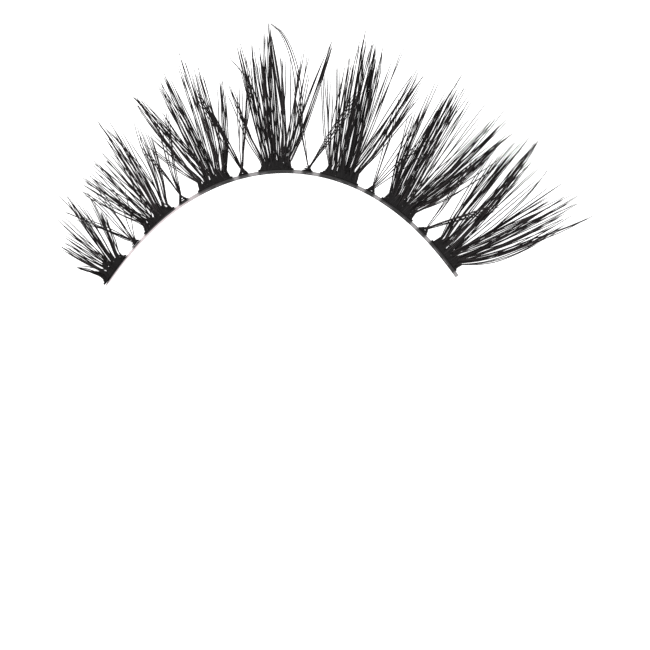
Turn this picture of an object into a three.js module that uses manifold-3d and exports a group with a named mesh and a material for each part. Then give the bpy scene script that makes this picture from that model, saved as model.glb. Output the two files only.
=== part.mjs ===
// A strip of false eyelashes for one eye, lying on its underside with the tips curled up.
// A thin plastic band follows the edge of the eyelid. Seven tufts of lashes fan out from glue knots
// on the band, and a small pair of crossed lashes stands between each two tufts.
// Sizes are in millimetres and angles in degrees. +X runs along the strip towards the outer corner
// of the eye, +Y points away from the lid at the top of the arch, and +Z is up. The origin is the
// middle of the band's underside, at the top of the arch.
import * as THREE from 'three';
import { mergeVertices } from 'three/addons/utils/BufferGeometryUtils.js';
import Module from 'manifold-3d';

const wasm = await Module();
wasm.setup();

// The band. It turns like a bent spring: most of all at the top of the arch, hardly at its ends.
const innerArm = 17.6; // along the band, from the top of the arch to the inner corner of the eye
const outerArm = 16.4; // along the band, from the top of the arch to the outer corner
const bandTurn = 58; // the most that the band turns away from X
const bendLength = 13.55; // how far along the band its bend is felt
const bandWidth = 0.34;
const bandHeight = 0.3;
const bandEdge = 0.07; // chamfer along the band's four edges
const innerEndWidth = 0.2; // the band is trimmed thinner at the inner corner
const innerTaper = 9; // length of that trimmed stretch
const bandStep = 0.7; // length of one straight facet along the band

// The lashes.
const lashReach = 12; // the longest lash, seen from above
const curlRadius = 12; // the upward curl
const flatRoot = 1.6; // length of lash that lies flat before the curl begins
const lockWidth = 0.95;
const lockThickness = 0.26;
const webThickness = 0.16; // where the lashes of a tuft are still too dense to part into locks

// The glue knots at the roots.
const knotThickness = 0.36;
const knotDepth = 1.15; // outward from the band
const waistDepth = 0.5; // where the knot is narrowest, outward from the band
const waistInset = 0.36; // how far the waist draws in at each side
const knotCrown = 0.09; // how much further out the knot reaches in its middle
const knotEdge = 0.07; // chamfer round the knot's top and underside
const seatGap = 0.04; // clearance between a knot and the band

// The small crossed lashes.
const crossReach = 8;
const crossWidth = 0.42;
const crossThickness = 0.16;
const crossRaise = 0.36; // lifts them over the tufts beside them
const raiseRun = 1.1; // length of lash over which they rise
const crossSlope = 5; // how much steeper they stand than the tufts
const crossKnotDepth = 0.6;
const crossInset = 0.2; // how far their knot's waist draws in at each side

// Each tuft's foot on the band, from and to, and the point that its lashes fan out from, all as
// shares of the band's length from the inner corner. Each lock of lashes has its root as a share of
// half the foot, the lean of its tip from the fan's straight-out line, positive towards the outer
// corner, its reach as a share of the longest lash, and its bow, the extra lean that it sets out with.
const tufts = [
  {
    name: 'tuft_1', from: 0.006, to: 0.089, fan: 0.038,
    locks: [
      { root: -0.75, lean: -29, reach: 0.26, bow: 0 },
      { root: -0.4, lean: -12, reach: 0.38, bow: 0 },
      { root: 0, lean: 4, reach: 0.4, bow: 0 },
      { root: 0.35, lean: 20, reach: 0.6, bow: 0 },
      { root: 0.8, lean: 37, reach: 0.54, bow: 0 },
    ],
  },
  {
    name: 'tuft_2', from: 0.148, to: 0.243, fan: 0.174,
    locks: [
      { root: -0.8, lean: -16, reach: 0.53, bow: 0 },
      { root: -0.45, lean: -4, reach: 0.59, bow: 0 },
      { root: -0.1, lean: 8, reach: 0.6, bow: 0 },
      { root: 0.3, lean: 18, reach: 0.78, bow: 0 },
      { root: 0.6, lean: 28, reach: 0.74, bow: 0 },
      { root: 0.9, lean: 37, reach: 0.62, bow: 0 },
    ],
  },
  {
    name: 'tuft_3', from: 0.306, to: 0.39, fan: 0.335,
    locks: [
      { root: -0.85, lean: -27, reach: 0.45, bow: 0 },
      { root: -0.55, lean: -15, reach: 0.77, bow: 0 },
      { root: -0.25, lean: -3, reach: 0.77, bow: 0 },
      { root: 0.1, lean: 4, reach: 0.84, bow: 0 },
      { root: 0.35, lean: 11, reach: 0.91, bow: 0 },
      { root: 0.65, lean: 19, reach: 0.8, bow: 0 },
      { root: 0.9, lean: 31, reach: 0.74, bow: 0 },
    ],
  },
  {
    name: 'tuft_4', from: 0.453, to: 0.55, fan: 0.497,
    locks: [
      { root: -0.85, lean: -25, reach: 0.63, bow: 0 },
      { root: -0.5, lean: -14, reach: 0.88, bow: 0 },
      { root: -0.1, lean: -8, reach: 0.84, bow: 0 },
      { root: 0.3, lean: 0, reach: 1, bow: 0 },
      { root: 0.5, lean: 9, reach: 0.8, bow: 0 },
      { root: 0.7, lean: 18, reach: 0.83, bow: 0 },
      { root: 0.9, lean: 26, reach: 0.84, bow: 0 },
    ],
  },
  {
    name: 'tuft_5', from: 0.602, to: 0.695, fan: 0.644,
    locks: [
      { root: -0.85, lean: -23, reach: 0.7, bow: 0 },
      { root: -0.5, lean: -14, reach: 0.77, bow: 0 },
      { root: -0.15, lean: -8, reach: 0.93, bow: 0 },
      { root: 0.15, lean: -2, reach: 0.93, bow: 0 },
      { root: 0.55, lean: 7, reach: 0.86, bow: 0 },
      { root: 0.8, lean: 17, reach: 0.96, bow: 0 },
      { root: 0.95, lean: 22, reach: 0.88, bow: 0 },
    ],
  },
  {
    name: 'tuft_6', from: 0.751, to: 0.842, fan: 0.788,
    locks: [
      { root: -0.85, lean: -19, reach: 0.84, bow: 0 },
      { root: -0.45, lean: -12, reach: 0.8, bow: 0 },
      { root: -0.15, lean: -9, reach: 0.96, bow: 0 },
      { root: 0.2, lean: -4, reach: 0.86, bow: 0 },
      { root: 0.55, lean: 13, reach: 0.82, bow: 0 },
      { root: 0.85, lean: 21, reach: 0.84, bow: 6 },
      { root: 0.95, lean: 27, reach: 0.68, bow: 6 },
    ],
  },
  {
    name: 'tuft_7', from: 0.903, to: 0.985, fan: 0.932,
    locks: [
      { root: -0.85, lean: -17, reach: 0.74, bow: 0 },
      { root: -0.5, lean: -12, reach: 0.9, bow: 0 },
      { root: 0, lean: -7, reach: 0.95, bow: 4 },
      { root: 0.25, lean: 9, reach: 0.8, bow: 0 },
      { root: 0.5, lean: 19, reach: 0.95, bow: 4 },
      { root: 0.75, lean: 27, reach: 0.96, bow: 8 },
      { root: 0.95, lean: 33, reach: 0.7, bow: 14 },
    ],
  },
];

// Each pair of crossed lashes, in the same columns. Their reach is a share of their own longest.
const crosses = [
  {
    name: 'cross_1', from: 0.107, to: 0.128, fan: 0.118,
    locks: [{ root: 0.5, lean: -17, reach: 0.72, bow: 0 }, { root: -0.5, lean: 18, reach: 0.66, bow: 0 }],
  },
  {
    name: 'cross_2', from: 0.258, to: 0.283, fan: 0.27,
    locks: [{ root: 0.5, lean: -6, reach: 0.7, bow: 0 }, { root: -0.5, lean: 16, reach: 0.88, bow: 0 }],
  },
  {
    name: 'cross_3', from: 0.411, to: 0.432, fan: 0.421,
    locks: [{ root: 0.5, lean: -17, reach: 0.95, bow: 0 }, { root: -0.5, lean: 17, reach: 1, bow: 0 }],
  },
  {
    name: 'cross_4', from: 0.558, to: 0.581, fan: 0.569,
    locks: [{ root: 0.5, lean: -15, reach: 0.82, bow: 0 }, { root: -0.5, lean: 24, reach: 0.94, bow: 0 }],
  },
  {
    name: 'cross_5', from: 0.711, to: 0.734, fan: 0.722,
    locks: [{ root: 0.5, lean: -11, reach: 0.94, bow: 0 }, { root: -0.5, lean: 14, reach: 0.82, bow: 0 }],
  },
  {
    name: 'cross_6', from: 0.86, to: 0.883, fan: 0.871,
    locks: [{ root: 0.5, lean: -9, reach: 0.88, bow: 0 }, { root: -0.5, lean: 24, reach: 0.76, bow: 0 }],
  },
];

// A lock's sections from root to tip: how far along it, and its width and thickness there, as
// shares of its length, of the lock's width and of the lock's thickness.
const lockSections = [
  { along: 0, width: 0.5, thickness: 1 },
  { along: 0.14, width: 0.66, thickness: 1 },
  { along: 0.34, width: 1, thickness: 0.95 },
  { along: 0.55, width: 0.92, thickness: 0.8 },
  { along: 0.75, width: 0.6, thickness: 0.6 },
  { along: 0.9, width: 0.3, thickness: 0.4 },
  { along: 1, width: 0.08, thickness: 0.25 },
];

// Where the web's rows lie, as shares of each lock's length.
const webShares = [0, 0.12, 0.24, 0.36];

const lashBlack = new THREE.MeshStandardMaterial({ color: '#1d1b1d', roughness: 0.45, metalness: 0 });
const bandGrey = new THREE.MeshStandardMaterial({ color: '#b9b6b6', roughness: 0.35, metalness: 0 });

const radians = THREE.MathUtils.degToRad;
const bandLength = innerArm + outerArm;
const fromInnerEnd = (share) => share * bandLength - innerArm;

// How far the band's straight-out line is turned from +Y, clockwise, at a distance along the band
// from the top of the arch.
function turnAt(along) {
  return radians(bandTurn) * Math.sin(along / bendLength);
}

// The band's middle line, by Simpson's rule on the turning angle, and then out from it.
function bandPoint(along, out = 0) {
  const steps = 32;
  const step = along / steps;
  let x = 0;
  let y = 0;
  for (let i = 0; i < steps; i += 1) {
    const turns = [i, i + 0.5, i + 1].map((at) => turnAt(at * step));
    x += (step / 6) * (Math.cos(turns[0]) + 4 * Math.cos(turns[1]) + Math.cos(turns[2]));
    y -= (step / 6) * (Math.sin(turns[0]) + 4 * Math.sin(turns[1]) + Math.sin(turns[2]));
  }
  const turn = turnAt(along);
  return new THREE.Vector2(x + out * Math.sin(turn), y + out * Math.cos(turn));
}

// Moves every vertex of a geometry and keeps only its positions, with shared vertices merged.
function reshaped(geometry, move) {
  const position = geometry.attributes.position;
  const vertex = new THREE.Vector3();
  for (let i = 0; i < position.count; i += 1) {
    vertex.fromBufferAttribute(position, i);
    move(vertex);
    position.setXYZ(i, vertex.x, vertex.y, vertex.z);
  }
  geometry.deleteAttribute('normal');
  geometry.deleteAttribute('uv');
  return mergeVertices(geometry, 1e-4);
}

function toManifold(geometry) {
  return new wasm.Manifold(new wasm.Mesh({
    numProp: 3,
    vertProperties: new Float32Array(geometry.attributes.position.array),
    triVerts: new Uint32Array(geometry.index.array),
  }));
}

function toGeometry(solid) {
  const mesh = solid.getMesh();
  const geometry = new THREE.BufferGeometry();
  geometry.setAttribute('position', new THREE.BufferAttribute(mesh.vertProperties, 3));
  geometry.setIndex(new THREE.BufferAttribute(mesh.triVerts, 1));
  return geometry;
}

function bandWidthAt(along) {
  const trimmed = THREE.MathUtils.smoothstep(along + innerArm, 0, innerTaper);
  return THREE.MathUtils.lerp(innerEndWidth, bandWidth, trimmed);
}

// The band is a chamfered bar extruded straight and then bent along the lid.
function makeBand() {
  const half = bandWidth / 2;
  const section = new THREE.Shape([
    new THREE.Vector2(-half + bandEdge, 0),
    new THREE.Vector2(half - bandEdge, 0),
    new THREE.Vector2(half, bandEdge),
    new THREE.Vector2(half, bandHeight - bandEdge),
    new THREE.Vector2(half - bandEdge, bandHeight),
    new THREE.Vector2(-half + bandEdge, bandHeight),
    new THREE.Vector2(-half, bandHeight - bandEdge),
    new THREE.Vector2(-half, bandEdge),
  ]);
  const bar = new THREE.ExtrudeGeometry(section, {
    depth: bandLength,
    steps: Math.ceil(bandLength / bandStep),
    bevelEnabled: false,
  });
  return reshaped(bar, (vertex) => {
    const along = vertex.z - innerArm;
    const out = vertex.x * (bandWidthAt(along) / bandWidth);
    const place = bandPoint(along, out);
    vertex.set(place.x, place.y, vertex.y);
  });
}

// The height of a lash above the surface that the strip lies on, at a distance from its root.
function curlHeight(distance) {
  const curled = Math.max(0, distance - flatRoot);
  return curlRadius - Math.sqrt(curlRadius ** 2 - curled ** 2);
}

function crossHeight(distance) {
  const raised = crossRaise * THREE.MathUtils.smoothstep(distance, 0, raiseRun);
  return raised + distance * Math.tan(radians(crossSlope)) + curlHeight(distance);
}

// The path of one lock of lashes over the ground, from its root in the knot to its tip. It gives a
// point beside the path at a share of its length, and its height there.
function lockPath(tuft, lock, size) {
  const footStart = fromInnerEnd(tuft.from) + waistInset;
  const footEnd = fromInnerEnd(tuft.to) - waistInset;
  const rootAlong = THREE.MathUtils.lerp(footStart, footEnd, (lock.root + 1) / 2);
  const fanAlong = fromInnerEnd(tuft.fan);
  const tipTurn = turnAt(fanAlong) + radians(lock.lean);
  const root = bandPoint(rootAlong, bandWidth / 2 + waistDepth);
  const tip = bandPoint(fanAlong).add(
    new THREE.Vector2(Math.sin(tipTurn), Math.cos(tipTurn)).multiplyScalar(lock.reach * size.reach),
  );
  const chord = tip.clone().sub(root);
  const chordTurn = Math.atan2(chord.x, chord.y);
  return (share, side = 0) => {
    const turn = chordTurn + radians(lock.bow) * (1 - share);
    const distance = chord.length() * share;
    return new THREE.Vector3(
      root.x + distance * Math.sin(turn) + side * Math.cos(turn),
      root.y + distance * Math.cos(turn) - side * Math.sin(turn),
      size.heightAt(waistDepth + distance),
    );
  };
}

// One lock of lashes, a flat six-sided spindle bent along its path.
function makeLock(path, size) {
  const spindle = new THREE.CylinderGeometry(1, 1, 1, 6, lockSections.length - 1);
  return toManifold(reshaped(spindle, (vertex) => {
    const row = Math.round((vertex.y + 0.5) * (lockSections.length - 1));
    const section = lockSections[row];
    const thickness = size.thickness * section.thickness;
    const lift = (thickness / 2) * (1 + vertex.z);
    vertex.copy(path(section.along, vertex.x * (size.width / 2) * section.width));
    vertex.z += lift;
  }));
}

// The web is a thin sheet that joins the lower stretches of a tuft's locks, one strip of it for
// each lock from the first to the last.
function makeWeb(paths) {
  const sheet = new THREE.BoxGeometry(1, 1, 1, paths.length - 1, webShares.length - 1, 1);
  return toManifold(reshaped(sheet, (vertex) => {
    const column = Math.round((vertex.x + 0.5) * (paths.length - 1));
    const row = Math.round((vertex.y + 0.5) * (webShares.length - 1));
    const lift = lockThickness / 2 + vertex.z * webThickness;
    vertex.copy(paths[column](webShares[row]));
    vertex.z += lift;
  }));
}

// A glue knot, a small plate with a waist, its foot bent along the band and its edges eased.
function makeKnot(tuft, size) {
  const start = fromInnerEnd(tuft.from);
  const end = fromInnerEnd(tuft.to);
  const seat = bandWidth / 2 + seatGap;
  const outline = [];
  const footFacets = Math.max(2, Math.ceil((end - start) / bandStep));
  for (let i = 0; i <= footFacets; i += 1) {
    outline.push(new THREE.Vector2(THREE.MathUtils.lerp(start, end, i / footFacets), seat));
  }
  outline.push(new THREE.Vector2(end - size.inset, seat + size.waist));
  outline.push(new THREE.Vector2(end - size.inset, seat + size.depth));
  outline.push(new THREE.Vector2((start + end) / 2, seat + size.depth + knotCrown));
  outline.push(new THREE.Vector2(start + size.inset, seat + size.depth));
  outline.push(new THREE.Vector2(start + size.inset, seat + size.waist));
  const plate = new THREE.ExtrudeGeometry(new THREE.Shape(outline), {
    depth: size.thickness - 2 * knotEdge,
    steps: 1,
    bevelEnabled: true,
    bevelSegments: 1,
    bevelThickness: knotEdge,
    bevelSize: knotEdge,
    bevelOffset: -knotEdge,
  });
  return toManifold(reshaped(plate, (vertex) => {
    const place = bandPoint(vertex.x, vertex.y);
    vertex.set(place.x, place.y, vertex.z + knotEdge);
  }));
}

function makeTuft(tuft, knotSize, lockSize) {
  const paths = tuft.locks.map((lock) => lockPath(tuft, lock, lockSize));
  let solid = makeKnot(tuft, knotSize);
  for (const path of paths) {
    solid = solid.add(makeLock(path, lockSize));
  }
  if (lockSize.hasWeb) {
    solid = solid.add(makeWeb(paths));
  }
  const mesh = new THREE.Mesh(toGeometry(solid), lashBlack);
  mesh.name = tuft.name;
  return mesh;
}

const tuftKnot = { thickness: knotThickness, depth: knotDepth, waist: waistDepth, inset: waistInset };
const tuftLock = {
  reach: lashReach, width: lockWidth, thickness: lockThickness, heightAt: curlHeight, hasWeb: true,
};
const crossKnot = {
  thickness: crossRaise, depth: crossKnotDepth, waist: waistDepth, inset: crossInset,
};
const crossLock = {
  reach: crossReach, width: crossWidth, thickness: crossThickness, heightAt: crossHeight, hasWeb: false,
};

const strip = new THREE.Group();
const band = new THREE.Mesh(makeBand(), bandGrey);
band.name = 'band';
strip.add(band);
for (const tuft of tufts) {
  strip.add(makeTuft(tuft, tuftKnot, tuftLock));
}
for (const cross of crosses) {
  strip.add(makeTuft(cross, crossKnot, crossLock));
}

export default strip;
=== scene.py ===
# %% [markdown]
# A strip of false eyelashes.
# The real strip is a thin bent band of clear plastic. Tufts of black synthetic lashes are glued to its
# outer edge, and their tips curl up from the table that the strip lies on. This lesson dresses a plain
# solid model of the strip: the solids give the places, and Geometry Nodes draw each lash as a
# tapered fibre.

# %% Load the solid model
import math
from collections import namedtuple

import bmesh
import bpy
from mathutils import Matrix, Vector


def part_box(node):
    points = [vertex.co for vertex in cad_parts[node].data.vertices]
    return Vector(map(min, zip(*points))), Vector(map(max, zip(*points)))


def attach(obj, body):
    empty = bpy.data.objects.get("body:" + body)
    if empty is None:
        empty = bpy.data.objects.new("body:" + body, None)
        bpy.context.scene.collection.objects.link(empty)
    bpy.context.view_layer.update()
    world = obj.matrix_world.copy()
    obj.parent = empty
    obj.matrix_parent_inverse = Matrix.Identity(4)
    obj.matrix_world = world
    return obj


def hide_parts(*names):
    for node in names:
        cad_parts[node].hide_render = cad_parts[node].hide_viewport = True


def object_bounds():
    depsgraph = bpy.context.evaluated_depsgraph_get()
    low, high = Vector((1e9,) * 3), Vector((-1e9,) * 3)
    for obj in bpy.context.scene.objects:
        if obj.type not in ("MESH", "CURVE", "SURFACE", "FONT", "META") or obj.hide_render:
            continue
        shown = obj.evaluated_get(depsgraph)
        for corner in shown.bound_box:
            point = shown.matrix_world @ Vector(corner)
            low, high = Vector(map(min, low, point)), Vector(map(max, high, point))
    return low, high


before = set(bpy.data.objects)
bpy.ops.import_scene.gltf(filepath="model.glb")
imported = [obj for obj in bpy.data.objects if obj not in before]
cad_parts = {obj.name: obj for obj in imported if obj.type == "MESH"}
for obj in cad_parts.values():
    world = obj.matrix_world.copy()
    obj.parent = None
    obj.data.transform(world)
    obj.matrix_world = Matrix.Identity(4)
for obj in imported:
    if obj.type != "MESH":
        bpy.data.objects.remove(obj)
cad_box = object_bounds()
mm = 0.001

scene = bpy.context.scene
print("the solid model has", len(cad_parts), "nodes")
print("solid model, mm:", [[round(value / mm, 2) for value in corner] for corner in cad_box])

# %% [markdown]
# The line of the band.
# Every place on the strip is counted along its band, from the top of the arch, with the outer corner
# of the eye on the positive side. The band bends like a spring, so its direction follows a sine. An
# arc of a circle would be simpler, but its ends would turn in too far. Adding up small straight steps
# along that direction gives the band's middle line.

# %% Measure along the band
inner_arm = 17.6 * mm
outer_arm = 16.4 * mm
band_length = inner_arm + outer_arm
band_turn = math.radians(58)
bend_length = 13.55 * mm
band_half_width = 0.155 * mm
band_height = 0.3 * mm


def turn_at(along):
    """How far the band's outward direction is turned from +Y, clockwise, at a distance along it."""
    return band_turn * math.sin(along / bend_length)


def outward_at(along, lean=0.0):
    """The level direction away from the lid there, turned by a lean in radians."""
    turn = turn_at(along) + lean
    return Vector((math.sin(turn), math.cos(turn), 0))


def band_point(along, out=0.0):
    """A point on the band's middle line, moved outwards from it."""
    steps = 64
    step = along / steps
    point = Vector((0, 0, 0))
    for count in range(steps):
        turn = turn_at((count + 0.5) * step)
        point += Vector((math.cos(turn), -math.sin(turn), 0)) * step
    return point + outward_at(along) * out


def from_inner_end(share):
    """A place along the band, given as a share of its length from the inner corner of the eye."""
    return share * band_length - inner_arm


band_low, band_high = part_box("band")
outer_end = band_point(outer_arm)
print("outer end of the line, mm:", [round(value / mm, 2) for value in outer_end])
print("outer end of the solid, mm:", round(band_high.x / mm, 2), round(band_low.y / mm, 2))

# %% [markdown]
# Where the lashes go.
# No two tufts are alike on a real strip, because the fibres are laid by hand. Random fans would have
# the right kind of shape, but not this strip's own rhythm of long and short spikes. So each tuft has a
# short table of its locks, judged one by one, and chance only spreads the fibres within a lock. A tuft's
# start and end are the ends of its foot, and its fan is where its locks would meet, all as shares of
# the band's length from the inner corner. A lock's root is a share of half the foot. Its lean is in
# degrees and its reach in millimetres, both taken from the fan's point. Its bow is the extra lean in
# degrees that it sets out with, and its scatter is how far to each side its tips end, in degrees. A
# roundness below 1 keeps a bow full nearly to both ends, as in the thin lock of tuft_4 that hooks
# over at its tip.

# %% Chart the locks of each tuft
Lock = namedtuple("Lock", "root lean reach bow hairs scatter roundness", defaults=[1.0])
Tuft = namedtuple("Tuft", "start end fan locks")

tufts = {
    "tuft_1": Tuft(0.002, 0.0885, 0.038, [
        Lock(-0.85, -31, 2.3, 0, 2, 2),
        Lock(-0.8, -27, 2.8, 0, 7, 2.2),
        Lock(-0.5, -9, 4.6, 0, 7, 3),
        Lock(-0.3, -5, 4.5, 0, 5, 5),
        Lock(-0.1, 1.7, 5.0, 0, 6, 4),
        Lock(0.0, 9, 6.6, 0, 5, 2.5),
        Lock(0.3, 22, 7.0, -4, 9, 1.5),
        Lock(0.4, 18, 7.9, 0, 1, 0),
        Lock(0.5, 26, 6.4, 0, 4, 3),
        Lock(0.85, 35, 6.5, 0, 4, 2),
        Lock(0.95, 41, 4.8, 0, 7, 3),
    ]),
    "tuft_2": Tuft(0.151, 0.2455, 0.176, [
        Lock(-0.9, -19, 6.3, 0, 3, 2),
        Lock(-0.7, -10, 6.8, 0, 11, 4),
        Lock(-0.35, 0, 7.1, 0, 10, 3.5),
        Lock(-0.05, 10, 7.0, 0, 10, 4),
        Lock(0.25, 16.5, 9.3, 4, 14, 1.2),
        Lock(0.35, 21, 9.3, 0, 3, 1),
        Lock(0.5, 24, 8.0, 0, 5, 2.5),
        Lock(0.75, 32.7, 9.5, -4, 2, 1),
        Lock(0.9, 37, 7.9, 0, 9, 4),
    ]),
    "tuft_3": Tuft(0.3085, 0.397, 0.336, [
        Lock(-0.9, -30, 5.9, 0, 3, 3),
        Lock(-0.75, -22, 6.0, 0, 4, 3),
        Lock(-0.6, -13.5, 9.5, 0, 18, 1.5),
        Lock(-0.4, -8, 7.3, 0, 4, 3),
        Lock(-0.15, 0, 9.2, 0, 9, 1.8),
        Lock(0.05, 4, 9.9, 0, 10, 1.5),
        Lock(0.3, 12, 10.9, 0, 8, 2),
        Lock(0.5, 18.5, 9.9, 0, 13, 2.5),
        Lock(0.98, 31, 8.7, 3, 11, 1.5),
    ]),
    "tuft_4": Tuft(0.4555, 0.5385, 0.497, [
        Lock(-0.95, -25.5, 7.6, 0, 7, 3),
        Lock(-0.7, -20.1, 9.6, 28, 2, 0.1),
        Lock(-0.55, -13.3, 10.9, 0, 8, 1.5),
        Lock(-0.3, -7.2, 10.2, 0, 14, 2.8),
        Lock(-0.1, -5, 9.3, -3, 5, 1.5),
        Lock(0.1, -1.7, 10.5, -6, 4, 0.6),
        Lock(0.35, 0, 11.6, 0, 17, 0.8),
        Lock(0.6, 1, 11.2, 19, 4, 0.4, 0.6),
        Lock(0.6, 7, 9.2, 0, 9, 4.5),
        Lock(0.8, 17, 9.8, 0, 8, 2.5),
        Lock(0.95, 26.4, 11.1, 0, 9, 0.8),
    ]),
    "tuft_5": Tuft(0.598, 0.692, 0.643, [
        Lock(-0.65, -25, 8.6, 0, 5, 3),
        Lock(-0.5, -18, 8.8, 0, 5, 2.5),
        Lock(-0.35, -12, 9.6, 0, 9, 1.5),
        Lock(-0.1, -8.4, 11.1, 0, 8, 1),
        Lock(0.0, -7.3, 11.7, 0, 7, 0.8),
        Lock(0.1, -6, 11.2, 0, 4, 1),
        Lock(0.25, -3.2, 11.6, 0, 13, 1),
        Lock(0.3, -1, 10.6, 0, 9, 1.3),
        Lock(0.4, 0.8, 11.4, 8, 5, 0.8),
        Lock(0.5, 6.5, 10.0, 0, 5, 2.5),
        Lock(0.7, 8.4, 11.5, 0, 2, 0.7),
        Lock(0.9, 18.5, 11.2, 0, 8, 1.5),
        Lock(0.95, 22, 10.4, 0, 9, 2),
        Lock(0.95, 26, 9.0, 0, 5, 2.5),
    ]),
    "tuft_6": Tuft(0.751, 0.842, 0.788, [
        Lock(-0.95, -24, 8.0, 0, 5, 3),
        Lock(-0.9, -18.5, 9.2, 0, 8, 3),
        Lock(-0.8, -17, 11.2, 0, 2, 1),
        Lock(-0.5, -11, 10.0, 0, 10, 1.5),
        Lock(-0.2, -9, 11.5, 0, 11, 0.9),
        Lock(0.0, -5.8, 11.2, 0, 10, 1.2),
        Lock(0.1, -2, 10.8, 0, 8, 2),
        Lock(0.4, 5.4, 11.2, 0, 4, 2.5),
        Lock(0.5, 11.4, 11.9, 6, 5, 1),
        Lock(0.6, 13.5, 10.5, 0, 9, 2.5),
        Lock(0.7, 15, 12.0, 4, 4, 1),
        Lock(0.8, 20.5, 10.9, 0, 10, 2.2),
        Lock(0.97, 22, 9.8, 9, 11, 1.2),
        Lock(0.97, 29.5, 9.8, 6, 3, 1.5),
    ]),
    "tuft_7": Tuft(0.903, 0.9945, 0.932, [
        Lock(-0.95, -20, 8.6, 0, 5, 2),
        Lock(-0.85, -15, 10.8, 0, 8, 1.8),
        Lock(-0.65, -11.5, 11.6, 0, 9, 1),
        Lock(-0.35, -7.8, 11.6, 6, 14, 1),
        Lock(-0.15, -4.4, 10.6, 4, 9, 1.5),
        Lock(0.05, 1.5, 10.4, 0, 5, 2.5),
        Lock(0.1, 1, 5.5, 0, 10, 5),
        Lock(0.25, 3.5, 10.3, 14, 2, 0.5),
        Lock(0.3, 11, 11.2, 0, 4, 2),
        Lock(0.35, 16, 10.2, 0, 8, 3),
        Lock(0.45, 17.8, 11.9, 2, 9, 1.8),
        Lock(0.55, 20.8, 11.7, 4, 6, 1.5),
        Lock(0.65, 24.2, 11.0, 8, 7, 1.5),
        Lock(0.8, 27.2, 12.1, 7, 3, 0.5),
        Lock(0.6, 20.5, 8.4, 4, 7, 3),
        Lock(0.85, 28, 10.2, 14, 7, 1.5),
        Lock(0.97, 30, 9.3, 17, 5, 2.2),
    ]),
}

crosses = {
    "cross_1": Tuft(0.109, 0.135, 0.121, [
        Lock(0.8, -17, 6.0, 0, 4, 1.5),
        Lock(-0.2, 4, 6.3, 0, 2, 2.5),
        Lock(0.2, 13, 5.4, 0, 3, 4),
        Lock(0.4, 30, 5.0, 0, 2, 8),
    ]),
    "cross_2": Tuft(0.256, 0.283, 0.27, [
        Lock(0.8, -4.5, 5.5, 0, 3, 2.5),
        Lock(-0.8, 16, 7.0, 0, 3, 1.8),
        Lock(-0.8, 22, 7.4, 0, 3, 1.5),
    ]),
    "cross_3": Tuft(0.409, 0.434, 0.421, [
        Lock(0.8, -15.5, 7.6, 0, 8, 2.5),
        Lock(-0.8, 12, 7.4, 0, 3, 1.5),
        Lock(-0.8, 18, 8.0, 0, 5, 2),
    ]),
    "cross_4": Tuft(0.557, 0.582, 0.569, [
        Lock(0.8, -16, 6.5, 0, 3, 2),
        Lock(-0.1, 26, 7.8, 0, 5, 3),
    ]),
    "cross_5": Tuft(0.71, 0.735, 0.722, [
        Lock(0.8, -11, 7.8, 0, 3, 1.5),
        Lock(-0.8, 6.5, 6.2, 0, 2, 3.5),
        Lock(-0.5, 21, 6.4, 0, 4, 4),
    ]),
    "cross_6": Tuft(0.8605, 0.8875, 0.874, [
        Lock(0.85, -9.5, 7.6, 0, 4, 1.8),
        Lock(-0.85, 27, 6.7, 0, 5, 3),
    ]),
}
all_tufts = {**tufts, **crosses}
for name, tuft in all_tufts.items():
    print(name, "has", sum(lock.hairs for lock in tuft.locks), "hairs in", len(tuft.locks), "locks")

# %% [markdown]
# Writing sums as nodes.
# Geometry Nodes and shaders both work sums out with math nodes, one node for each step. Placed one by
# one, a formula takes a page. This small helper holds a node's output, and adding to it or multiplying
# it places the math node, so that a formula in the script still reads as one.

# %% Make a helper for node sums


class Wire:
    """The output of a node. Sums with it place math nodes, for numbers or for vectors."""

    def __init__(self, socket):
        self.socket = socket

    def through(self, operation, *others):
        """Sends this wire through one math node, together with other wires or numbers."""
        tree = self.socket.id_data
        is_vector = self.socket.type == "VECTOR"
        node = tree.nodes.new("ShaderNodeVectorMath" if is_vector else "ShaderNodeMath")
        node.operation = operation
        connect(node.inputs[0], self)
        for number, other in enumerate(others, 1):
            connect(node.inputs["Scale"] if operation == "SCALE" else node.inputs[number], other)
        gives_number = operation in ("LENGTH", "DOT_PRODUCT", "DISTANCE")
        return Wire(node.outputs[1 if gives_number else 0])

    def __add__(self, other):
        return self.through("ADD", other)

    def __sub__(self, other):
        return self.through("SUBTRACT", other)

    def __mul__(self, other):
        other_is_vector = isinstance(other, Wire) and other.socket.type == "VECTOR"
        scales = self.socket.type == "VECTOR" and not other_is_vector
        return self.through("SCALE" if scales else "MULTIPLY", other)

    def __truediv__(self, other):
        return self.through("DIVIDE", other)

    def __pow__(self, other):
        return self.through("POWER", other)

    def kept_between(self, low, high):
        """Holds this number between two limits."""
        return self.through("MINIMUM", high).through("MAXIMUM", low)

    def ramp(self, slope, base):
        """A straight ramp of this number, held between 0 and 1."""
        return (self * slope + base).kept_between(0.0, 1.0)


print("node sums: add, subtract, multiply, divide, power, limits and ramps")

# %% Add nodes and fill their sockets


def connect(socket, value):
    """Links a wire to a socket, or sets the socket's own value."""
    if isinstance(value, Wire):
        socket.id_data.links.new(value.socket, socket)
    elif value is not None:
        socket.default_value = value


def add_node(tree, kind, inputs=None, **options):
    """Adds a node, sets its options and fills its inputs, and gives back the node."""
    node = tree.nodes.new(kind)
    for option, value in options.items():
        setattr(node, option, value)
    for name, value in (inputs or {}).items():
        connect(node.inputs[name], value)
    return node


def first_output(tree, kind, inputs=None, **options):
    """Adds a node and gives back its first output as a wire."""
    return Wire(add_node(tree, kind, inputs, **options).outputs[0])


def vector_from(tree, x, y, z):
    """Joins three numbers into a vector."""
    return first_output(tree, "ShaderNodeCombineXYZ", {"X": x, "Y": y, "Z": z})


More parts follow.
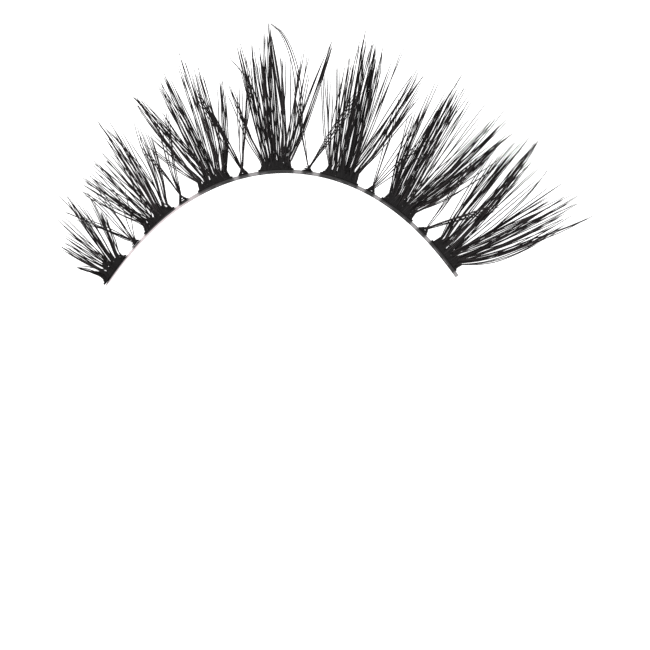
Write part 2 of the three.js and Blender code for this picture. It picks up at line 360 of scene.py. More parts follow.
def right_of(tree, direction):
    """The level direction to the right of another one."""
    node = add_node(tree, "ShaderNodeSeparateXYZ", {0: direction})
    x, y, _ = [Wire(output) for output in node.outputs]
    return vector_from(tree, y, x * -1.0, 0.0)


def join(tree, geometries):
    """Joins several geometries into one."""
    node = tree.nodes.new("GeometryNodeJoinGeometry")
    for geometry in geometries:
        connect(node.inputs[0], geometry)
    return Wire(node.outputs[0])


print("node helpers ready, for shaders and geometry alike")

# %% [markdown]
# One lash after another.
# Each lash is a straight line with a dozen points until the tree bends it. The tree copies every lock
# once for each of its hairs, gives each copy its own root, tip, bow, wave and height, and then moves
# the points of its line. Modelling the curves by hand would take days, and a hair system would not
# stay with the strip's own locks. Chance comes from a fixed seed, so the strip is the same every time.

# %% Name the inputs of the lash tree
LASH_INPUTS = {
    "Foot Middle": ("NodeSocketVector", (0.0, 0.0, 0.0)),
    "Foot Turn": ("NodeSocketFloat", 0.0),
    "Half Foot": ("NodeSocketFloat", 1.5 * mm),
    "Foot Sag": ("NodeSocketFloat", 0.1 * mm),
    "Waist Inset": ("NodeSocketFloat", 0.36 * mm),
    "Waist Depth": ("NodeSocketFloat", 0.7 * mm),
    "Root Spread": ("NodeSocketFloat", 0.65),
    "Keep Order": ("NodeSocketFloat", 0.3),
    "Stagger": ("NodeSocketFloat", 0.24),
    "Wave": ("NodeSocketFloat", 0.08 * mm),
    "Bow Change": ("NodeSocketFloat", 0.05),
    "Layer Low": ("NodeSocketFloat", 0.09 * mm),
    "Layer High": ("NodeSocketFloat", 0.28 * mm),
    "Flat Root": ("NodeSocketFloat", 1.6 * mm),
    "Curl Radius": ("NodeSocketFloat", 14.5 * mm),
    "Curl Change": ("NodeSocketFloat", 0.1),
    "Raise": ("NodeSocketFloat", 0.0),
    "Raise Run": ("NodeSocketFloat", 1.1 * mm),
    "Slope": ("NodeSocketFloat", 0.0),
    "Slope Change": ("NodeSocketFloat", 0.035),
    "Hair Radius": ("NodeSocketFloat", 0.041 * mm),
    "Hair Points": ("NodeSocketInt", 12),
    "Hair Sides": ("NodeSocketInt", 5),
    "Bead Radius": ("NodeSocketFloat", 0.13 * mm),
    "Glue Length": ("NodeSocketFloat", 1.0 * mm),
    "Glue Radius": ("NodeSocketFloat", 0.055 * mm),
    "Glue Voxel": ("NodeSocketFloat", 0.035 * mm),
    "Seed": ("NodeSocketInt", 1),
    "Fibre": ("NodeSocketMaterial", None),
    "Glue": ("NodeSocketMaterial", None),
}


def start_tree(name, inputs):
    """A new geometry tree with named inputs. Gives back the tree and a wire for each input."""
    tree = bpy.data.node_groups.new(name, "GeometryNodeTree")
    tree.interface.new_socket("Geometry", in_out="INPUT", socket_type="NodeSocketGeometry")
    tree.interface.new_socket("Geometry", in_out="OUTPUT", socket_type="NodeSocketGeometry")
    for label, (kind, default) in inputs.items():
        socket = tree.interface.new_socket(label, in_out="INPUT", socket_type=kind)
        if default is not None:
            socket.default_value = default
    entry = tree.nodes.new("NodeGroupInput")
    return tree, {output.name: Wire(output) for output in entry.outputs if output.name}


print("the lash tree has", len(LASH_INPUTS), "inputs")

# %% [markdown]
# Where each hair starts and ends.
# The hairs of a lock leave the glue side by side and part again at their tips. Each root lies near its
# lock's own place, and stays off the very ends of the foot. Each tip lands within the lock's scatter,
# and the outer hairs end a little earlier, so that the lock runs to a point. Working this out again at
# every point of a lash would take many more nodes, so each hair stores its values once, under names.

# %% Read, store and draw lots


def read_attribute(tree, name, data_type="FLOAT"):
    """The value that each point or hair carries under a name."""
    return first_output(tree, "GeometryNodeInputNamedAttribute", {"Name": name}, data_type=data_type)


def store_attribute(tree, geometry, name, value, data_type="FLOAT"):
    """Writes a value on each point under a name."""
    inputs = {"Geometry": geometry, "Name": name, "Value": value}
    return first_output(tree, "GeometryNodeStoreNamedAttribute", inputs, data_type=data_type)


def chance(tree, seed, number, low=-1.0, high=1.0):
    """A random number for each point, from its own place in the series that the seed sets."""
    node = add_node(tree, "FunctionNodeRandomValue", data_type="FLOAT")
    connect(node.inputs[2], low)
    connect(node.inputs[3], high)
    connect(node.inputs["Seed"], seed + number)
    return Wire(node.outputs[1])


print("each hair can carry named values and draw its own lots")

# %% Give every hair its own root and tip
lock_root_share = 0.8
foot_limit = 0.88
tip_jitter = 0.4
outer_hairs_power = 1.5
outer_hairs_cut = 0.6
chance_cut = 0.5
full_turn = 6.28


def foot_directions(tree, sizes):
    """The level directions straight out of a tuft's foot and along it."""
    turn = sizes["Foot Turn"]
    outward = vector_from(tree, turn.through("SINE"), turn.through("COSINE"), 0.0)
    sideways = vector_from(tree, turn.through("COSINE"), turn.through("SINE") * -1.0, 0.0)
    return outward, sideways


def scatter_hairs(tree, sizes):
    """Copies each lock once a hair and stores where each hair starts, ends and how it bends."""
    seed = sizes["Seed"]
    amount = read_attribute(tree, "hairs", "INT")
    inputs = {"Geometry": sizes["Geometry"], "Amount": amount}
    copies = add_node(tree, "GeometryNodeDuplicateElements", inputs, domain="POINT")
    hairs = Wire(copies.outputs["Geometry"])
    order = (Wire(copies.outputs["Duplicate Index"]) + 0.5) / amount * 2.0 - 1.0

    outward, sideways = foot_directions(tree, sizes)
    keep = sizes["Keep Order"]
    mixed = chance(tree, seed, 1) * (keep * -1.0 + 1.0) + order * keep
    spread = read_attribute(tree, "spread") * sizes["Root Spread"]
    share = read_attribute(tree, "root") * lock_root_share + mixed * spread
    share = share.kept_between(-foot_limit, foot_limit)
    root = sizes["Foot Middle"] + sideways * (share * sizes["Half Foot"])
    root = root - outward * (share * share * sizes["Foot Sag"])

    tip = read_attribute(tree, "tip", "FLOAT_VECTOR")
    chord = tip - root
    length = chord.through("LENGTH")
    direction = chord.through("NORMALIZE")
    across = right_of(tree, direction)
    shift = (order + chance(tree, seed, 2) * tip_jitter) * read_attribute(tree, "scatter")
    outer = order.through("ABSOLUTE") ** outer_hairs_power * outer_hairs_cut
    shorter = (outer + chance(tree, seed, 4, 0.0) ** 2.0 * chance_cut) * sizes["Stagger"]
    shorter = shorter * read_attribute(tree, "stagger")
    tip = tip + across * (shift * length) - direction * (shorter * length)

    stored = {
        "share": share,
        "hair bow": read_attribute(tree, "bow") + chance(tree, seed, 3) * sizes["Bow Change"],
        "layer": chance(tree, seed, 5, sizes["Layer Low"], sizes["Layer High"]),
        "curl": sizes["Curl Radius"] * (chance(tree, seed, 6) * sizes["Curl Change"] + 1.0),
        "slope": sizes["Slope"] + chance(tree, seed, 7, 0.0) * sizes["Slope Change"],
        "wave": chance(tree, seed, 8) * sizes["Wave"],
        "phase": chance(tree, seed, 9, 0.0, full_turn),
        "tone": chance(tree, seed, 10, 0.0),
    }
    for name, value in stored.items():
        hairs = store_attribute(tree, hairs, name, value)
    for name, value in {"start": root, "finish": tip, "sideways": sideways}.items():
        hairs = store_attribute(tree, hairs, name, value, "FLOAT_VECTOR")
    return hairs


print("hairs get their roots and tips from 10 random series")

# %% [markdown]
# Bending a lash.
# Seen from above, a lash is first pulled in towards the knot's waist and then runs nearly straight to
# its tip, with a small bow and wave of its own. Seen from the side it lies flat near the root and then
# follows a circle upwards. Both come from short formulas of the distance along the lash. The hump is 0
# at both ends and a quarter in the middle, and the pull towards the waist is strongest at its depth.

# %% Bend every hair
wave_turn = 7.0
hump_to_one = 4.0


def even_points(tree, curve, count):
    """Gives a curve a number of evenly spaced points."""
    return first_output(tree, "GeometryNodeResampleCurve", {"Curve": curve, "Count": count})


def draw_lines(tree, sizes, hairs):
    """Puts a straight line on every hair's point, and bends each line into its lash."""
    line = first_output(tree, "GeometryNodeCurvePrimitiveLine")
    line = even_points(tree, line, sizes["Hair Points"])
    lines = first_output(tree, "GeometryNodeInstanceOnPoints", {"Points": hairs, "Instance": line})
    lines = first_output(tree, "GeometryNodeRealizeInstances", {"Geometry": lines})

    along = first_output(tree, "GeometryNodeSplineParameter")
    start = read_attribute(tree, "start", "FLOAT_VECTOR")
    chord = read_attribute(tree, "finish", "FLOAT_VECTOR") - start
    length = chord.through("LENGTH")
    across = right_of(tree, chord.through("NORMALIZE"))
    distance = length * along

    hump = along * (along * -1.0 + 1.0)
    bow = read_attribute(tree, "hair bow") * length * hump ** read_attribute(tree, "roundness")
    angle = along * wave_turn + read_attribute(tree, "phase")
    wave = read_attribute(tree, "wave") * angle.through("SINE") * hump * hump_to_one
    depth = distance / sizes["Waist Depth"]
    pull = depth * (depth * -1.0 + 1.0).through("EXPONENT") * sizes["Waist Inset"]
    pinch = read_attribute(tree, "sideways", "FLOAT_VECTOR") * (read_attribute(tree, "share") * pull * -1.0)

    curl = read_attribute(tree, "curl")
    curled = (distance - sizes["Flat Root"]).through("MAXIMUM", 0.0)
    fall = (curl * curl - curled * curled).through("MAXIMUM", 0.0).through("SQRT")
    rise = (distance / sizes["Raise Run"]).through("MINIMUM", 1.0)
    raised = rise * rise * (rise * -2.0 + 3.0) * sizes["Raise"]
    height = read_attribute(tree, "layer") + raised + distance * read_attribute(tree, "slope") + curl - fall

    place = start + chord * along + across * (bow + wave) + pinch + vector_from(tree, 0.0, 0.0, height)
    lines = first_output(tree, "GeometryNodeSetPosition", {"Geometry": lines, "Position": place})
    return store_attribute(tree, lines, "along", along)


def sweep(tree, lines, radius, sides):
    """Gives lines a round section and closed ends."""
    circle = first_output(tree, "GeometryNodeCurvePrimitiveCircle", {"Resolution": sides, "Radius": 1.0})
    inputs = {"Curve": lines, "Profile Curve": circle, "Scale": radius, "Fill Caps": True}
    return first_output(tree, "GeometryNodeCurveToMesh", inputs)


print("lines bend in plan by bow, wave and pinch, and in height by their curl")

# %% [markdown]
# The glue knot.
# On the real strip the roots are dipped in black glue, which bridges the fibres and leaves a few slits
# open. A modelled block would look like a plate. Here about the first millimetre of every lash is
# drawn again, thick, together with three beads along the foot. All of that becomes a volume and then
# one skin, as wet glue would close over the fibres.

# %% Lay beads of glue along the foot
bead_depths = (0.0, 0.25, 0.5)
bead_points = 20
bead_sides = 8
bead_end_thinning = 0.35
bead_depth_thinning = 0.6


def foot_bead(tree, sizes, depth):
    """A bead of glue that follows the foot at some depth into the tuft, thin at both ends."""
    line = first_output(tree, "GeometryNodeCurvePrimitiveLine")
    line = even_points(tree, line, bead_points)
    share = first_output(tree, "GeometryNodeSplineParameter") * 2.0 - 1.0
    outward, sideways = foot_directions(tree, sizes)
    inward = depth * math.exp(1.0 - depth)
    half = sizes["Half Foot"] - sizes["Waist Inset"] * inward
    place = sizes["Foot Middle"] + sideways * (share * half)
    place = place + outward * (sizes["Waist Depth"] * depth - share * share * sizes["Foot Sag"])
    place = place + vector_from(tree, 0.0, 0.0, sizes["Layer High"] * 0.5)
    line = first_output(tree, "GeometryNodeSetPosition", {"Geometry": line, "Position": place})
    thickness = share ** 4.0 * -bead_end_thinning + 1.0 - depth * bead_depth_thinning
    return sweep(tree, line, thickness * sizes["Bead Radius"], bead_sides)


print("a knot has beads at", bead_depths, "of its waist's depth")

# %% Fuse the roots into a knot
shortest_glue = 0.75
glue_length_change = 0.5
glue_thinning = 0.5
glue_points = 8
glue_sides = 6
voxels_inside = 4.0
skin_threshold = 0.1


def glued_roots(tree, sizes, lines):
    """The first stretch of every lash, drawn again as a thick strand of glue."""
    trimmed = add_node(tree, "GeometryNodeTrimCurve", {"Curve": lines}, mode="LENGTH")
    end = [socket for socket in trimmed.inputs if socket.enabled and socket.name == "End"][0]
    share = read_attribute(tree, "tone") * glue_length_change + shortest_glue
    connect(end, sizes["Glue Length"] * share)
    short = even_points(tree, Wire(trimmed.outputs[0]), glue_points)
    along = first_output(tree, "GeometryNodeSplineParameter")
    thickness = along ** 2.0 * -glue_thinning + 1.0
    return sweep(tree, short, thickness * sizes["Glue Radius"], glue_sides)


def fuse_knot(tree, sizes, lines):
    """Fuses the lashes' glued roots with beads along the foot, into one skin."""
    voxel = sizes["Glue Voxel"]
    roots = glued_roots(tree, sizes, lines)
    joined = join(tree, [roots] + [foot_bead(tree, sizes, depth) for depth in bead_depths])
    solid = {"Mesh": joined, "Voxel Size": voxel, "Interior Band Width": voxel * voxels_inside}
    volume = first_output(tree, "GeometryNodeMeshToVolume", solid, resolution_mode="VOXEL_SIZE")
    fog = {"Volume": volume, "Voxel Size": voxel, "Threshold": skin_threshold}
    return first_output(tree, "GeometryNodeVolumeToMesh", fog, resolution_mode="VOXEL_SIZE")


print("the knot is fused from the roots of its own lashes")

# %% Build the lash tree
tip_power = 10.0
tip_thinning = 0.6


def finish_branch(tree, geometry, material):
    """Ends a branch of the tree as smooth, real geometry with its material."""
    geometry = first_output(tree, "GeometryNodeSetShadeSmooth", {"Geometry": geometry})
    geometry = first_output(tree, "GeometryNodeRealizeInstances", {"Geometry": geometry})
    return first_output(tree, "GeometryNodeSetMaterial", {"Geometry": geometry, "Material": material})


def build_lash_tree():
    """The whole tree, from the points of the locks to a tuft of lashes on its knot."""
    tree, sizes = start_tree("tuft of lashes", LASH_INPUTS)
    lines = draw_lines(tree, sizes, scatter_hairs(tree, sizes))
    thickness = read_attribute(tree, "along") ** tip_power * -tip_thinning + 1.0
    fibres = sweep(tree, lines, thickness * sizes["Hair Radius"], sizes["Hair Sides"])
    lashes = finish_branch(tree, fibres, sizes["Fibre"])
    knot = finish_branch(tree, fuse_knot(tree, sizes, lines), sizes["Glue"])
    leave = tree.nodes.new("NodeGroupOutput")
    connect(leave.inputs[0], join(tree, (lashes, knot)))
    return tree


lash_tree = build_lash_tree()
print("the lash tree has", len(lash_tree.nodes), "nodes")

# %% [markdown]
# The fibre.
# The lashes are black synthetic fibre with a soft sheen, a little browner where light comes through
# their thin tips, and no two are quite equally black. The glue of the knots is glossier, with a fine
# uneven skin and a few small pale specks. A picture of real fibre would stretch along so thin a
# line, so the shades come from each hair's own values and from a fine grain. The grain is a shader
# group, because fibre, glue and band all use it, each with a size and a depth of its own.

# %% Make the shared grain


def start_shader_group(name, inputs, outputs):
    """A new shader group with named inputs and outputs, with wires for its inputs."""
    group = bpy.data.node_groups.new(name, "ShaderNodeTree")
    for label, (kind, default) in inputs.items():
        socket = group.interface.new_socket(label, in_out="INPUT", socket_type=kind)
        socket.default_value = default
    for label, kind in outputs.items():
        group.interface.new_socket(label, in_out="OUTPUT", socket_type=kind)
    entry = group.nodes.new("NodeGroupInput")
    return group, {output.name: Wire(output) for output in entry.outputs if output.name}


def build_grain_group():
    """Fine grain on Object coordinates: a value that varies over the surface and a bump normal."""
    inputs = {
        "Grain Size": ("NodeSocketFloat", 12000.0),
        "Depth": ("NodeSocketFloat", 0.2),
    }
    outputs = {"Value": "NodeSocketFloat", "Normal": "NodeSocketVector"}
    group, wires = start_shader_group("fine grain", inputs, outputs)
    place = Wire(add_node(group, "ShaderNodeTexCoord").outputs["Object"])
    noise_inputs = {"Vector": place, "Scale": wires["Grain Size"], "Detail": 3.0}
    noise = add_node(group, "ShaderNodeTexNoise", noise_inputs)
    bump = {"Height": Wire(noise.outputs[0]), "Strength": wires["Depth"], "Distance": 0.01 * mm}
    normal = first_output(group, "ShaderNodeBump", bump)
    leave = group.nodes.new("NodeGroupOutput")
    connect(leave.inputs["Value"], Wire(noise.outputs[0]))
    connect(leave.inputs["Normal"], normal)
    return group


grain_group = build_grain_group()


def add_grain(tree, size, depth):
    """Places the shared grain in a material, and gives back its value and its normal."""
    inputs = {"Grain Size": size, "Depth": depth}
    node = add_node(tree, "ShaderNodeGroup", inputs, node_tree=grain_group)
    return Wire(node.outputs["Value"]), Wire(node.outputs["Normal"])


print("the grain group has", len(grain_group.nodes), "nodes")

# %% Start and finish a material


def start_material(name):
    """A new material with its Principled shader. Gives back the material, its tree and the shader."""
    material = bpy.data.materials.new(name)
    material.use_nodes = True
    shader = material.node_tree.nodes["Principled BSDF"]
    return material, material.node_tree, shader


def surface_attribute(tree, name):
    """A value that the piece's own mesh carries."""
    return Wire(add_node(tree, "ShaderNodeAttribute", attribute_name=name).outputs["Fac"])


def blend_colours(tree, factor, first, second):
    """A colour between two others."""
    node = add_node(tree, "ShaderNodeMix", data_type="RGBA")
    connect(node.inputs["Factor"], factor)
    for socket, colour in zip((node.inputs[6], node.inputs[7]), (first, second)):
        connect(socket, colour)
    return Wire(node.outputs[2])


def finish_material(shader, colour, grain, normal, smoothest, roughening, reflection):
    """Wires colour and normal to the shader, roughens it by its grain, and sets its reflection."""
    connect(shader.inputs["Base Color"], colour)
    connect(shader.inputs["Roughness"], grain * roughening + smoothest)
    connect(shader.inputs["Normal"], normal)
    shader.inputs["Specular IOR Level"].default_value = reflection


print("material helpers ready")

# %% Mix the fibre and the glue
deep_black = (0.005, 0.0042, 0.0046, 1)
soft_black = (0.045, 0.0385, 0.0395, 1)
tip_brown = (0.03, 0.0255, 0.0255, 1)
browning_power = 3.0
browning_share = 0.5
glue_dark = (0.002, 0.0017, 0.0018, 1)
glue_light = (0.012, 0.0105, 0.011, 1)
pale_speck_grey = (0.3, 0.29, 0.29, 1)
specks_a_metre = 2600.0
speck_radius = 0.11
speck_strength = 9.0
speck_limit = 0.5


def make_fibre():
    """Black fibre, each hair of its own shade and a little browner at its tip."""
    material, tree, shader = start_material("black fibre")
    grain, normal = add_grain(tree, size=16000.0, depth=0.35)
    tone = surface_attribute(tree, "tone")
    along = surface_attribute(tree, "along")
    colour = blend_colours(tree, tone * tone, deep_black, soft_black)
    colour = blend_colours(tree, along ** browning_power * browning_share, colour, tip_brown)
    finish_material(shader, colour, grain, normal, smoothest=0.36, roughening=0.25, reflection=0.12)
    return material


def make_glue():
    """Black lash glue, glossier than the fibre, with a fine uneven skin and small pale specks."""
    material, tree, shader = start_material("black glue")
    grain, normal = add_grain(tree, size=9000.0, depth=0.7)
    colour = blend_colours(tree, grain, glue_dark, glue_light)
    place = Wire(add_node(tree, "ShaderNodeTexCoord").outputs["Object"])
    # Small pale specks around the points of a Voronoi pattern.
    specks = first_output(tree, "ShaderNodeTexVoronoi", {"Vector": place, "Scale": specks_a_metre})
    speck = (specks * -1.0 + speck_radius).through("MAXIMUM", 0.0) * speck_strength
    colour = blend_colours(tree, speck.through("MINIMUM", speck_limit), colour, pale_speck_grey)
    finish_material(shader, colour, grain, normal, smoothest=0.2, roughening=0.3, reflection=0.12)
    return material


fibre = make_fibre()
glue = make_glue()
print("materials:", fibre.name, "and", glue.name)

# %% [markdown]
# Growing the tufts.
# A modifier could keep each tuft live, but the export wants plain meshes. So every tuft starts as a
# mesh of loose points, one for each lock, that carry the numbers of its table. The lash tree runs on
# it once, and the result is kept as a plain mesh. All tufts share one tree, and only a few sizes
# differ: the crossed lashes are smaller and rise over the main tufts, the glue of tuft_1 reaches
# further out, and the hooked lashes of tuft_4 need more points to bend smoothly.

# %% Turn a tuft's table into points
unseen_tip = 0.4 * mm
full_lock = 10
tight_scatter = 0.75


def lock_points(name, tuft):
    """A mesh with one loose point for each lock, carrying the lock's numbers as attributes."""
    mesh = bpy.data.meshes.new(name)
    mesh.from_pydata([(0, 0, 0)] * len(tuft.locks), [], [])
    fan_along = from_inner_end(tuft.fan)
    fan = band_point(fan_along)
    columns = {
        "root": ("FLOAT", [lock.root for lock in tuft.locks]),
        "bow": ("FLOAT", [math.radians(lock.bow) for lock in tuft.locks]),
        "scatter": ("FLOAT", [math.radians(lock.scatter) for lock in tuft.locks]),
        "roundness": ("FLOAT", [lock.roundness for lock in tuft.locks]),
        "spread": ("FLOAT", [lock.hairs / full_lock for lock in tuft.locks]),
        "stagger": ("FLOAT", [0.0 if lock.scatter < tight_scatter else 1.0 for lock in tuft.locks]),
        "hairs": ("INT", [lock.hairs for lock in tuft.locks]),
    }
    for label, (kind, values) in columns.items():
        mesh.attributes.new(label, kind, "POINT").data.foreach_set("value", values)
    tips = []
    for lock in tuft.locks:
        reach = lock.reach * mm + unseen_tip
        tips.append(fan + outward_at(fan_along, math.radians(lock.lean)) * reach)
    numbers = [number for tip in tips for number in tip]
    mesh.attributes.new("tip", "FLOAT_VECTOR", "POINT").data.foreach_set("vector", numbers)
    return mesh


print("a lock of", full_lock, "hairs spreads its roots over the full root spread")

# %% Run the tree on a mesh


def set_inputs(modifier, values):
    """Sets a modifier's inputs by their labels, through the identifier that each socket has."""
    for item in modifier.node_group.interface.items_tree:
        if item.item_type == "SOCKET" and item.in_out == "INPUT" and item.name in values:
            modifier[item.identifier] = values[item.name]


def drop_empty_slots(mesh):
    """Takes out the empty material slots that a grown mesh starts with."""
    kept = [material for material in mesh.materials if material]
    worn = [mesh.materials[face.material_index] for face in mesh.polygons]
    mesh.materials.clear()
    for material in kept:
        mesh.materials.append(material)
    for face, material in zip(mesh.polygons, worn):
        face.material_index = kept.index(material)


def grown_mesh(name, mesh, tree, values):
    """Runs a tree on a mesh and gives back a plain object with the result."""
    source = bpy.data.objects.new(name + " source", mesh)
    scene.collection.objects.link(source)
    modifier = source.modifiers.new("tree", "NODES")
    modifier.node_group = tree
    set_inputs(modifier, values)
    depsgraph = bpy.context.evaluated_depsgraph_get()
    result = bpy.data.meshes.new_from_object(source.evaluated_get(depsgraph))
    source.modifiers.remove(modifier)
    bpy.data.objects.remove(source)
    drop_empty_slots(result)
    result.name = name
    piece = bpy.data.objects.new(name, result)
    scene.collection.objects.link(piece)
    return piece


print("a tree leaves a plain mesh, with its modifier removed")

# %% Grow the tufts
tuft_seat = 0.05 * mm
cross_seat = 0.03 * mm
first_seed = 3
seeds_a_tuft = 20


def grow_tuft(name, tuft, seed, extra):
    """A tuft of lashes on its knot, standing where the solid tuft stands."""
    start, end = from_inner_end(tuft.start), from_inner_end(tuft.end)
    middle = (start + end) / 2
    seat = band_half_width + (cross_seat if name in crosses else tuft_seat)
    foot = band_point(middle, seat)
    sag = (foot - (band_point(start, seat) + band_point(end, seat)) / 2).length
    values = {
        "Foot Middle": foot,
        "Foot Turn": turn_at(middle),
        "Half Foot": (end - start) / 2,
        "Foot Sag": sag,
        "Seed": seed,
        "Fibre": fibre,
        "Glue": glue,
    }
    values.update(extra)
    return grown_mesh(name + "_lashes", lock_points(name, tuft), lash_tree, values)


cross_sizes = {
    "Waist Inset": 0.24 * mm,
    "Waist Depth": 0.6 * mm,
    "Root Spread": 0.7,
    "Keep Order": 0.9,
    "Raise": 0.3 * mm,
    "Slope": math.tan(math.radians(5)),
    "Bead Radius": 0.06 * mm,
    "Glue Length": 0.6 * mm,
    "Glue Radius": 0.055 * mm,
}
own_sizes = {
    "tuft_1": {"Glue Length": 1.6 * mm, "Glue Radius": 0.06 * mm, "Root Spread": 0.8},
    "tuft_4": {"Hair Points": 18},
}
pieces = {}
for number, (name, tuft) in enumerate(all_tufts.items()):
    extra = cross_sizes if name in crosses else own_sizes.get(name, {})
    pieces[name] = grow_tuft(name, tuft, number * seeds_a_tuft + first_seed, extra)
    mesh = pieces[name].data
    mesh.calc_loop_triangles()
    print(name, len(mesh.loop_triangles), "triangles, materials", [item.name for item in mesh.materials])

# %% [markdown]
# The band.
# The real band is a thin satin plastic line, trimmed to a point at the inner corner and cut square at
# the outer one. A curve with a bevel would be quicker, but it gives both ends alike and can't carry
# values across its width. So it is swept along its own line in mesh code, and every point stores how
# far along and across the band it lies, and how much of a tuft's foot covers it.

# %% Shape the band
band_step = 0.12 * mm
band_sides = 16
section_flatness = 0.55
inner_end_half_width = 0.1 * mm
inner_taper = 9 * mm
inner_point = 0.5 * mm
inner_point_share = 0.25
outer_stub = 0.2 * mm
cover_fade = 0.12 * mm


def smooth_step(value):
    """Rises smoothly from 0 to 1."""
    value = min(1.0, max(0.0, value))
    return value * value * (3 - 2 * value)


def band_half_width_at(along):
    """Half the band's width there. It is trimmed at the inner corner and ends in a point."""
    from_end = along + inner_arm
    trimmed = smooth_step(from_end / inner_taper)
    half = inner_end_half_width + (band_half_width - inner_end_half_width) * trimmed
    pointed = smooth_step(from_end / inner_point)
    return half * (inner_point_share + (1 - inner_point_share) * pointed)


def cover_at(along):
    """How much of a tuft's dark foot shows through the band there, from 0 to 1."""
    cover = 0.0
    for tuft in all_tufts.values():
        start, end = from_inner_end(tuft.start), from_inner_end(tuft.end)
        inside = min(along - start, end - along)
        cover = max(cover, smooth_step(inside / cover_fade / 2 + 0.5))
    return cover


def section_point(side, half_width):
    """A point on the band's rounded section, given by its number round the section."""
    angle = 2 * math.pi * side / band_sides
    x, z = math.cos(angle), math.sin(angle)
    x = math.copysign(abs(x) ** section_flatness, x) * half_width
    z = math.copysign(abs(z) ** section_flatness, z) * band_height / 2
    return x, z + band_height / 2


print("band's half width, mm, at its inner end:", round(band_half_width_at(-inner_arm) / mm, 3))
print("and at its outer end:", round(band_half_width_at(outer_arm) / mm, 3))

# %% Sweep the band


def sweep_band():
    """The band as one closed skin, with its cover, its width and its length as attributes."""
    full_length = band_length + outer_stub
    count = round(full_length / band_step)
    build = bmesh.new()
    layers = {name: build.verts.layers.float.new(name) for name in ("cover", "across", "length")}
    rings = []
    for number in range(count + 1):
        along = full_length * number / count - inner_arm
        half = band_half_width_at(along)
        ring = []
        for side in range(band_sides):
            x, z = section_point(side, half)
            vertex = build.verts.new(band_point(along, x) + Vector((0, 0, z)))
            vertex[layers["cover"]] = cover_at(along)
            vertex[layers["across"]] = x / band_half_width
            vertex[layers["length"]] = (along + inner_arm) / band_length
            ring.append(vertex)
        rings.append(ring)
    for before, after in zip(rings, rings[1:]):
        for side in range(band_sides):
            next_side = (side + 1) % band_sides
            build.faces.new((before[side], before[next_side], after[next_side], after[side]))
    build.faces.new(rings[0])
    build.faces.new(rings[-1])
    bmesh.ops.recalc_face_normals(build, faces=build.faces)
    mesh = bpy.data.meshes.new("band_strip")
    build.to_mesh(mesh)
    build.free()
    mesh.shade_smooth()
    piece = bpy.data.objects.new("band_strip", mesh)
    scene.collection.objects.link(piece)
    return piece


pieces["band"] = sweep_band()
print("band has", len(pieces["band"].data.polygons), "faces")

# %% [markdown]
# The band's plastic.
# The real plastic is clear, so it looks pale grey over the table and pinkish near the inner corner, and
# it is painted darker at its edges: painted shade, where the clear plastic would bend the light away.
# Where a tuft is glued on, the black roots show through as a dark stretch, with a broken grey streak
# along it that is a painted highlight on the band. Glass would be true to the plastic, but on a line a
# third of a millimetre wide it shows only noise. So the band is opaque, and it is coloured by the values
# that its points carry.

# %% Mix the band's plastic
band_middle_grey = (0.3, 0.288, 0.291, 1)
# Painted shade for the band's edges, where the clear plastic would bend the light away.
painted_edge_shade = (0.13, 0.124, 0.126, 1)
mottle_grey = (0.17, 0.162, 0.165, 1)
# A painted highlight along the band, where it lies over the black roots.
painted_highlight_grey = (0.12, 0.112, 0.116, 1)
root_black = (0.011, 0.01, 0.0105, 1)
inner_pink = (0.6, 0.53, 0.54, 1)
mottle_start = 0.35
mottle_strength = 0.9
highlight_offset = 0.25
# Where the painted highlight lies across the band, how narrow it is and how broken.
highlight_sharpness = 9.0
highlight_contrast = 7.0
highlight_gaps = 3.4


def roots_with_painted_highlight(tree, across, mottle):
    """The black of the roots under the band, with its broken painted highlight along the band."""
    # Painted highlight: a lighter line a little off the band's middle, broken by the mottle.
    off_highlight = across + highlight_offset
    highlight = (off_highlight * off_highlight * -highlight_sharpness + 1.0).through("MAXIMUM", 0.0)
    highlight = highlight * (mottle * highlight_contrast - highlight_gaps).through("MAXIMUM", 0.0)
    return blend_colours(tree, highlight.through("MINIMUM", 1.0), root_black, painted_highlight_grey)


def make_band_plastic():
    """Pale grey satin plastic with painted shade at its edges, dark where the tufts' roots show through,
    with a painted highlight there.
    """
    material, tree, shader = start_material("pale band plastic")
    grain, normal = add_grain(tree, size=5000.0, depth=0.3)
    mottle, _ = add_grain(tree, size=1600.0, depth=0.0)
    across = surface_attribute(tree, "across")
    cover = surface_attribute(tree, "cover")
    inner = surface_attribute(tree, "length").ramp(slope=-12.0, base=4.0)
    inner_side = across.ramp(slope=-4.0, base=0.6)
    # Painted shade: the grey darkens towards both edges of the band.
    pale = blend_colours(tree, across * across, band_middle_grey, painted_edge_shade)
    pale = blend_colours(tree, (mottle - mottle_start) * mottle_strength, pale, mottle_grey)
    pale = blend_colours(tree, inner, pale, inner_pink)
    # Over the roots: black with the painted highlight, turning black and then pink near the inner corner.
    dark = blend_colours(tree, inner, roots_with_painted_highlight(tree, across, mottle), root_black)
    dark = blend_colours(tree, inner * inner_side, dark, inner_pink)
    colour = blend_colours(tree, cover, pale, dark)
    finish_material(shader, colour, grain, normal, smoothest=0.25, roughening=0.25, reflection=0.4)
    return material


band_plastic = make_band_plastic()
pieces["band"].data.materials.append(band_plastic)
print("material:", band_plastic.name)

# %% [markdown]
# The table, the light and the camera.
# The strip lies on a plain white table under even, soft light, as on a product picture. The table
# glows a little, so that no shadow greys it between the fine lashes. The camera looks straight down
# from far away with a long lens, so the raised tips hardly shift outwards.

# %% Lay the table
floor_half = 1.5


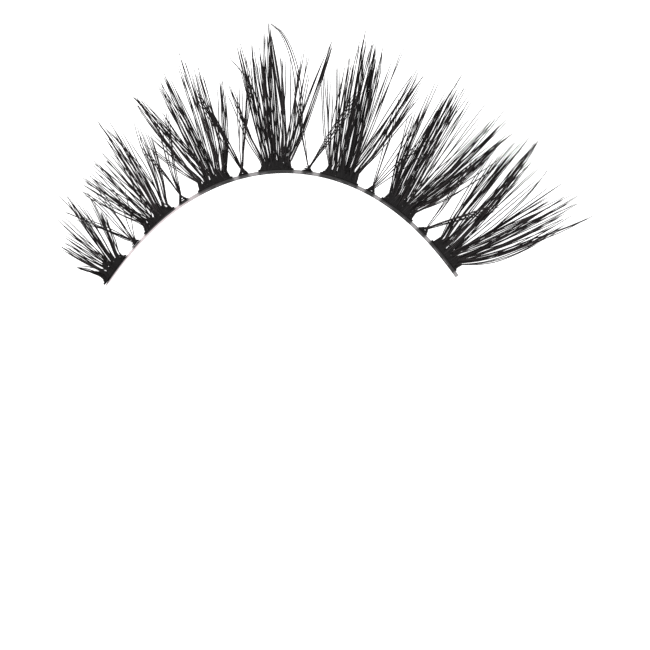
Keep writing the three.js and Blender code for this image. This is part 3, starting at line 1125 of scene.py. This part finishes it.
def make_floor():
    """A plain white table top under the strip."""
    mesh = bpy.data.meshes.new("table_top")
    corners = [(-1, -1), (1, -1), (1, 1), (-1, 1)]
    places = [(x * floor_half, y * floor_half, cad_box[0].z) for x, y in corners]
    mesh.from_pydata(places, [], [(0, 1, 2, 3)])
    floor = bpy.data.objects.new("table_top", mesh)
    scene.collection.objects.link(floor)
    material, _, shader = start_material("white table")
    shader.inputs["Base Color"].default_value = (0.93, 0.93, 0.93, 1)
    shader.inputs["Roughness"].default_value = 0.8
    shader.inputs["Emission Color"].default_value = (1, 1, 1, 1)
    shader.inputs["Emission Strength"].default_value = 0.9
    mesh.materials.append(material)


make_floor()
print("table at height", round(cad_box[0].z / mm, 3), "mm")

# %% Light it softly


def add_area_light(name, place, size, power):
    """A square soft light that faces the strip."""
    data = bpy.data.lights.new(name, "AREA")
    data.size = size
    data.energy = power
    light = bpy.data.objects.new(name, data)
    light.location = place
    light.rotation_euler = (-Vector(place)).to_track_quat("-Z", "Y").to_euler()
    scene.collection.objects.link(light)


world = bpy.data.worlds.new("white room")
scene.world = world
world.use_nodes = True
background = world.node_tree.nodes["Background"]
background.inputs["Color"].default_value = (1, 1, 1, 1)
background.inputs["Strength"].default_value = 1.0
add_area_light("key_light", place=(-0.35, 0.3, 0.6), size=0.7, power=2.0)
add_area_light("fill_light", place=(0.4, -0.3, 0.5), size=0.7, power=1.0)
scene.view_settings.view_transform = "Standard"
print("lights:", [item.name for item in bpy.data.lights])

# %% Set the camera
view_middle = Vector((3.17, -12.13, 0)) * mm
view_width = 51.35 * mm
camera_height = 0.8


def add_camera():
    """A long lens straight above the strip."""
    data = bpy.data.cameras.new("camera")
    data.lens = data.sensor_width * camera_height / view_width
    data.clip_start = 0.01
    data.clip_end = 10
    camera = bpy.data.objects.new("camera", data)
    camera.location = view_middle + Vector((0, 0, camera_height))
    scene.collection.objects.link(camera)
    scene.camera = camera
    return camera


camera = add_camera()
print("lens", round(camera.data.lens), "mm")

# %% [markdown]
# Tying the pieces to the solid model.
# Each piece moves with the root body, and the solid that it stands for is hidden.

# %% Tie the pieces to the solid model
for node, piece in pieces.items():
    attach(piece, "root")
    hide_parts(node)
